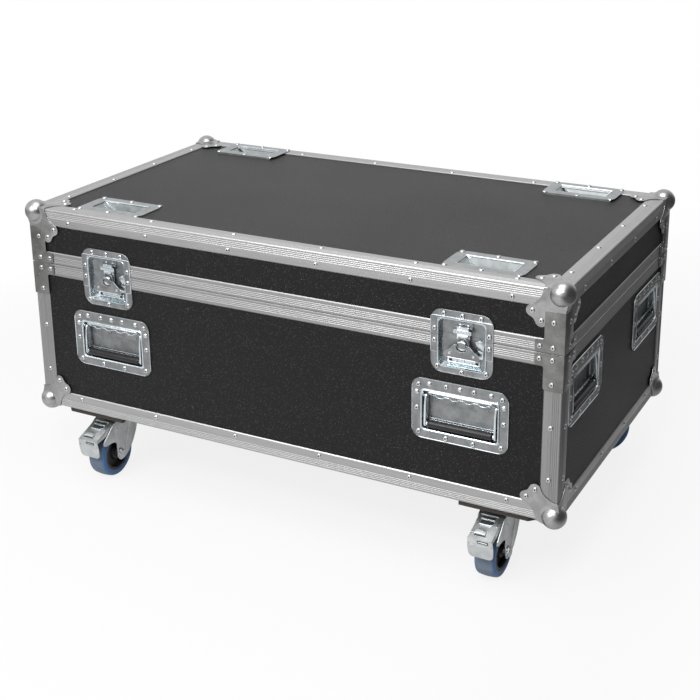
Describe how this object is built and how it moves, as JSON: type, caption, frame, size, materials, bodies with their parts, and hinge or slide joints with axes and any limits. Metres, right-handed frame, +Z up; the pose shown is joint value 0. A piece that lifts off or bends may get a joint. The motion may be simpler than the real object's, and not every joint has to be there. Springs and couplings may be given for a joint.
{
  "type": "flight case",
  "caption": "Wheeled flight case with a lift-off lid, recessed turn latches, fold-out handles, ball corners and swivel castors.",
  "frame": {"origin": "on the floor, under the middle of the case", "axes": "+Z up, the front with the brake castors faces -Y, +X runs along the case to the right seen from the front"},
  "size_m": [1.064, 0.6413, 0.548],
  "materials": {
    "black_laminate": "textured black laminate on plywood",
    "aluminium_edging": "satin ribbed extrusion",
    "zinc_steel": "zinc plated pressed steel",
    "bright_zinc": "bright zinc plated steel",
    "foam_lining": "dark grey foam lining",
    "black_rubber": "black rubber grip on a steel bail",
    "blue_rubber": "blue elastic rubber tread",
    "black_plastic": "black moulded rim",
    "birch_ply": "dark stained plywood pads"
  },
  "bodies": {
    "base": {"floor_panel": "black_laminate", "front_wall": "black_laminate", "back_wall": "black_laminate", "left_wall": "black_laminate", "right_wall": "black_laminate", "base_edging": "aluminium_edging", "base_closing_frame": "aluminium_edging", "base_foam": "foam_lining", "bottom_ball_corners": "zinc_steel", "base_braces": "zinc_steel", "handle_dishes": "zinc_steel", "latch_dishes_lower": "bright_zinc", "castor_pads": "birch_ply", "castor_plates": "zinc_steel", "castor_bolts": "zinc_steel", "base_rivets": "bright_zinc", "latch_hook_front_left": "bright_zinc", "latch_hook_front_right": "bright_zinc", "latch_hook_back_right": "bright_zinc", "latch_hook_back_left": "bright_zinc"},
    "lid": {"lid_top": "black_laminate", "lid_walls": "black_laminate", "lid_edging": "aluminium_edging", "lid_closing_frame": "aluminium_edging", "lid_foam": "foam_lining", "top_ball_corners": "zinc_steel", "lid_braces": "zinc_steel", "latch_dishes_upper": "bright_zinc", "castor_dishes": "zinc_steel", "lid_rivets": "bright_zinc"},
    "bail_front_left": {"bail_front_left": "black_rubber"},
    "bail_front_right": {"bail_front_right": "black_rubber"},
    "bail_back_right": {"bail_back_right": "black_rubber"},
    "bail_back_left": {"bail_back_left": "black_rubber"},
    "bail_right_front": {"bail_right_front": "black_rubber"},
    "bail_right_back": {"bail_right_back": "black_rubber"},
    "bail_left_back": {"bail_left_back": "black_rubber"},
    "bail_left_front": {"bail_left_front": "black_rubber"},
    "latch_drum_front_left": {"latch_drum_front_left": "bright_zinc"},
    "latch_wing_front_left": {"latch_wing_front_left": "bright_zinc"},
    "latch_drum_front_right": {"latch_drum_front_right": "bright_zinc"},
    "latch_wing_front_right": {"latch_wing_front_right": "bright_zinc"},
    "latch_drum_back_right": {"latch_drum_back_right": "bright_zinc"},
    "latch_wing_back_right": {"latch_wing_back_right": "bright_zinc"},
    "latch_drum_back_left": {"latch_drum_back_left": "bright_zinc"},
    "latch_wing_back_left": {"latch_wing_back_left": "bright_zinc"},
    "castor_fork_front_left": {"castor_fork_front_left": "zinc_steel"},
    "wheel_front_left": {"wheel_rim_front_left": "black_plastic", "wheel_tyre_front_left": "blue_rubber"},
    "brake_pedal_front_left": {"brake_pedal_front_left": "zinc_steel"},
    "castor_fork_front_right": {"castor_fork_front_right": "zinc_steel"},
    "wheel_front_right": {"wheel_rim_front_right": "black_plastic", "wheel_tyre_front_right": "blue_rubber"},
    "brake_pedal_front_right": {"brake_pedal_front_right": "zinc_steel"},
    "castor_fork_back_left": {"castor_fork_back_left": "zinc_steel"},
    "wheel_back_left": {"wheel_rim_back_left": "black_plastic", "wheel_tyre_back_left": "blue_rubber"},
    "castor_fork_back_right": {"castor_fork_back_right": "zinc_steel"},
    "wheel_back_right": {"wheel_rim_back_right": "black_plastic", "wheel_tyre_back_right": "blue_rubber"}
  },
  "joints": [
    {"name": "lid_lift", "type": "slide", "parent": "base", "child": "lid", "axis": [0, 0, 1], "range_m": [0, 0.35]},
    {"name": "bail_front_left_hinge", "type": "hinge", "parent": "base", "child": "bail_front_left", "pos_m": [-0.348, -0.2845, 0.315], "axis": [-1, 0, 0], "range_deg": [0, 85], "stiffness_Nm_per_rad": 0.15},
    {"name": "bail_front_right_hinge", "type": "hinge", "parent": "base", "child": "bail_front_right", "pos_m": [0.348, -0.2845, 0.315], "axis": [-1, 0, 0], "range_deg": [0, 85], "stiffness_Nm_per_rad": 0.15},
    {"name": "bail_back_right_hinge", "type": "hinge", "parent": "base", "child": "bail_back_right", "pos_m": [0.348, 0.2845, 0.315], "axis": [1, 0, 0], "range_deg": [0, 85], "stiffness_Nm_per_rad": 0.15},
    {"name": "bail_back_left_hinge", "type": "hinge", "parent": "base", "child": "bail_back_left", "pos_m": [-0.348, 0.2845, 0.315], "axis": [1, 0, 0], "range_deg": [0, 85], "stiffness_Nm_per_rad": 0.15},
    {"name": "bail_right_front_hinge", "type": "hinge", "parent": "base", "child": "bail_right_front", "pos_m": [0.5115, -0.176, 0.3645], "axis": [0, -1, 0], "range_deg": [0, 85], "stiffness_Nm_per_rad": 0.15},
    {"name": "bail_right_back_hinge", "type": "hinge", "parent": "base", "child": "bail_right_back", "pos_m": [0.5115, 0.176, 0.3645], "axis": [0, -1, 0], "range_deg": [0, 85], "stiffness_Nm_per_rad": 0.15},
    {"name": "bail_left_back_hinge", "type": "hinge", "parent": "base", "child": "bail_left_back", "pos_m": [-0.5115, 0.176, 0.3645], "axis": [0, 1, 0], "range_deg": [0, 85], "stiffness_Nm_per_rad": 0.15},
    {"name": "bail_left_front_hinge", "type": "hinge", "parent": "base", "child": "bail_left_front", "pos_m": [-0.5115, -0.176, 0.3645], "axis": [0, 1, 0], "range_deg": [0, 85], "stiffness_Nm_per_rad": 0.15},
    {"name": "latch_drum_front_left_turn", "type": "hinge", "parent": "base", "child": "latch_drum_front_left", "pos_m": [-0.35, -0.2892, 0.418], "axis": [0, -1, 0], "range_deg": [0, 180]},
    {"name": "latch_wing_front_left_fold", "type": "hinge", "parent": "latch_drum_front_left", "child": "latch_wing_front_left", "pos_m": [-0.35, -0.2928, 0.416], "axis": [-1, 0, 0], "range_deg": [0, 90]},
    {"name": "latch_drum_front_right_turn", "type": "hinge", "parent": "base", "child": "latch_drum_front_right", "pos_m": [0.35, -0.2892, 0.418], "axis": [0, -1, 0], "range_deg": [0, 180]},
    {"name": "latch_wing_front_right_fold", "type": "hinge", "parent": "latch_drum_front_right", "child": "latch_wing_front_right", "pos_m": [0.35, -0.2928, 0.416], "axis": [-1, 0, 0], "range_deg": [0, 90]},
    {"name": "latch_drum_back_right_turn", "type": "hinge", "parent": "base", "child": "latch_drum_back_right", "pos_m": [0.35, 0.2892, 0.418], "axis": [0, 1, 0], "range_deg": [0, 180]},
    {"name": "latch_wing_back_right_fold", "type": "hinge", "parent": "latch_drum_back_right", "child": "latch_wing_back_right", "pos_m": [0.35, 0.2928, 0.416], "axis": [1, 0, 0], "range_deg": [0, 90]},
    {"name": "latch_drum_back_left_turn", "type": "hinge", "parent": "base", "child": "latch_drum_back_left", "pos_m": [-0.35, 0.2892, 0.418], "axis": [0, 1, 0], "range_deg": [0, 180]},
    {"name": "latch_wing_back_left_fold", "type": "hinge", "parent": "latch_drum_back_left", "child": "latch_wing_back_left", "pos_m": [-0.35, 0.2928, 0.416], "axis": [1, 0, 0], "range_deg": [0, 90]},
    {"name": "castor_fork_front_left_swivel", "type": "hinge", "parent": "base", "child": "castor_fork_front_left", "pos_m": [-0.4, -0.219, 0.1128], "axis": [0, 0, 1], "continuous": true},
    {"name": "wheel_front_left_roll", "type": "hinge", "parent": "castor_fork_front_left", "child": "wheel_front_left", "pos_m": [-0.4, -0.257, 0.047], "axis": [1, 0, 0], "continuous": true},
    {"name": "brake_pedal_front_left_press", "type": "hinge", "parent": "castor_fork_front_left", "child": "brake_pedal_front_left", "pos_m": [-0.4, -0.267, 0.104], "axis": [1, 0, 0], "range_deg": [0, 8]},
    {"name": "castor_fork_front_right_swivel", "type": "hinge", "parent": "base", "child": "castor_fork_front_right", "pos_m": [0.4, -0.219, 0.1128], "axis": [0, 0, 1], "continuous": true},
    {"name": "wheel_front_right_roll", "type": "hinge", "parent": "castor_fork_front_right", "child": "wheel_front_right", "pos_m": [0.4, -0.257, 0.047], "axis": [1, 0, 0], "continuous": true},
    {"name": "brake_pedal_front_right_press", "type": "hinge", "parent": "castor_fork_front_right", "child": "brake_pedal_front_right", "pos_m": [0.4, -0.267, 0.104], "axis": [1, 0, 0], "range_deg": [0, 8]},
    {"name": "castor_fork_back_left_swivel", "type": "hinge", "parent": "base", "child": "castor_fork_back_left", "pos_m": [-0.4, 0.247, 0.1128], "axis": [0, 0, 1], "continuous": true},
    {"name": "wheel_back_left_roll", "type": "hinge", "parent": "castor_fork_back_left", "child": "wheel_back_left", "pos_m": [-0.4263, 0.27443, 0.047], "axis": [-0.7218, -0.6921, 0], "continuous": true},
    {"name": "castor_fork_back_right_swivel", "type": "hinge", "parent": "base", "child": "castor_fork_back_right", "pos_m": [0.4, 0.247, 0.1128], "axis": [0, 0, 1], "continuous": true},
    {"name": "wheel_back_right_roll", "type": "hinge", "parent": "castor_fork_back_right", "child": "wheel_back_right", "pos_m": [0.4263, 0.27443, 0.047], "axis": [-0.7218, 0.6921, 0], "continuous": true}
  ]
}
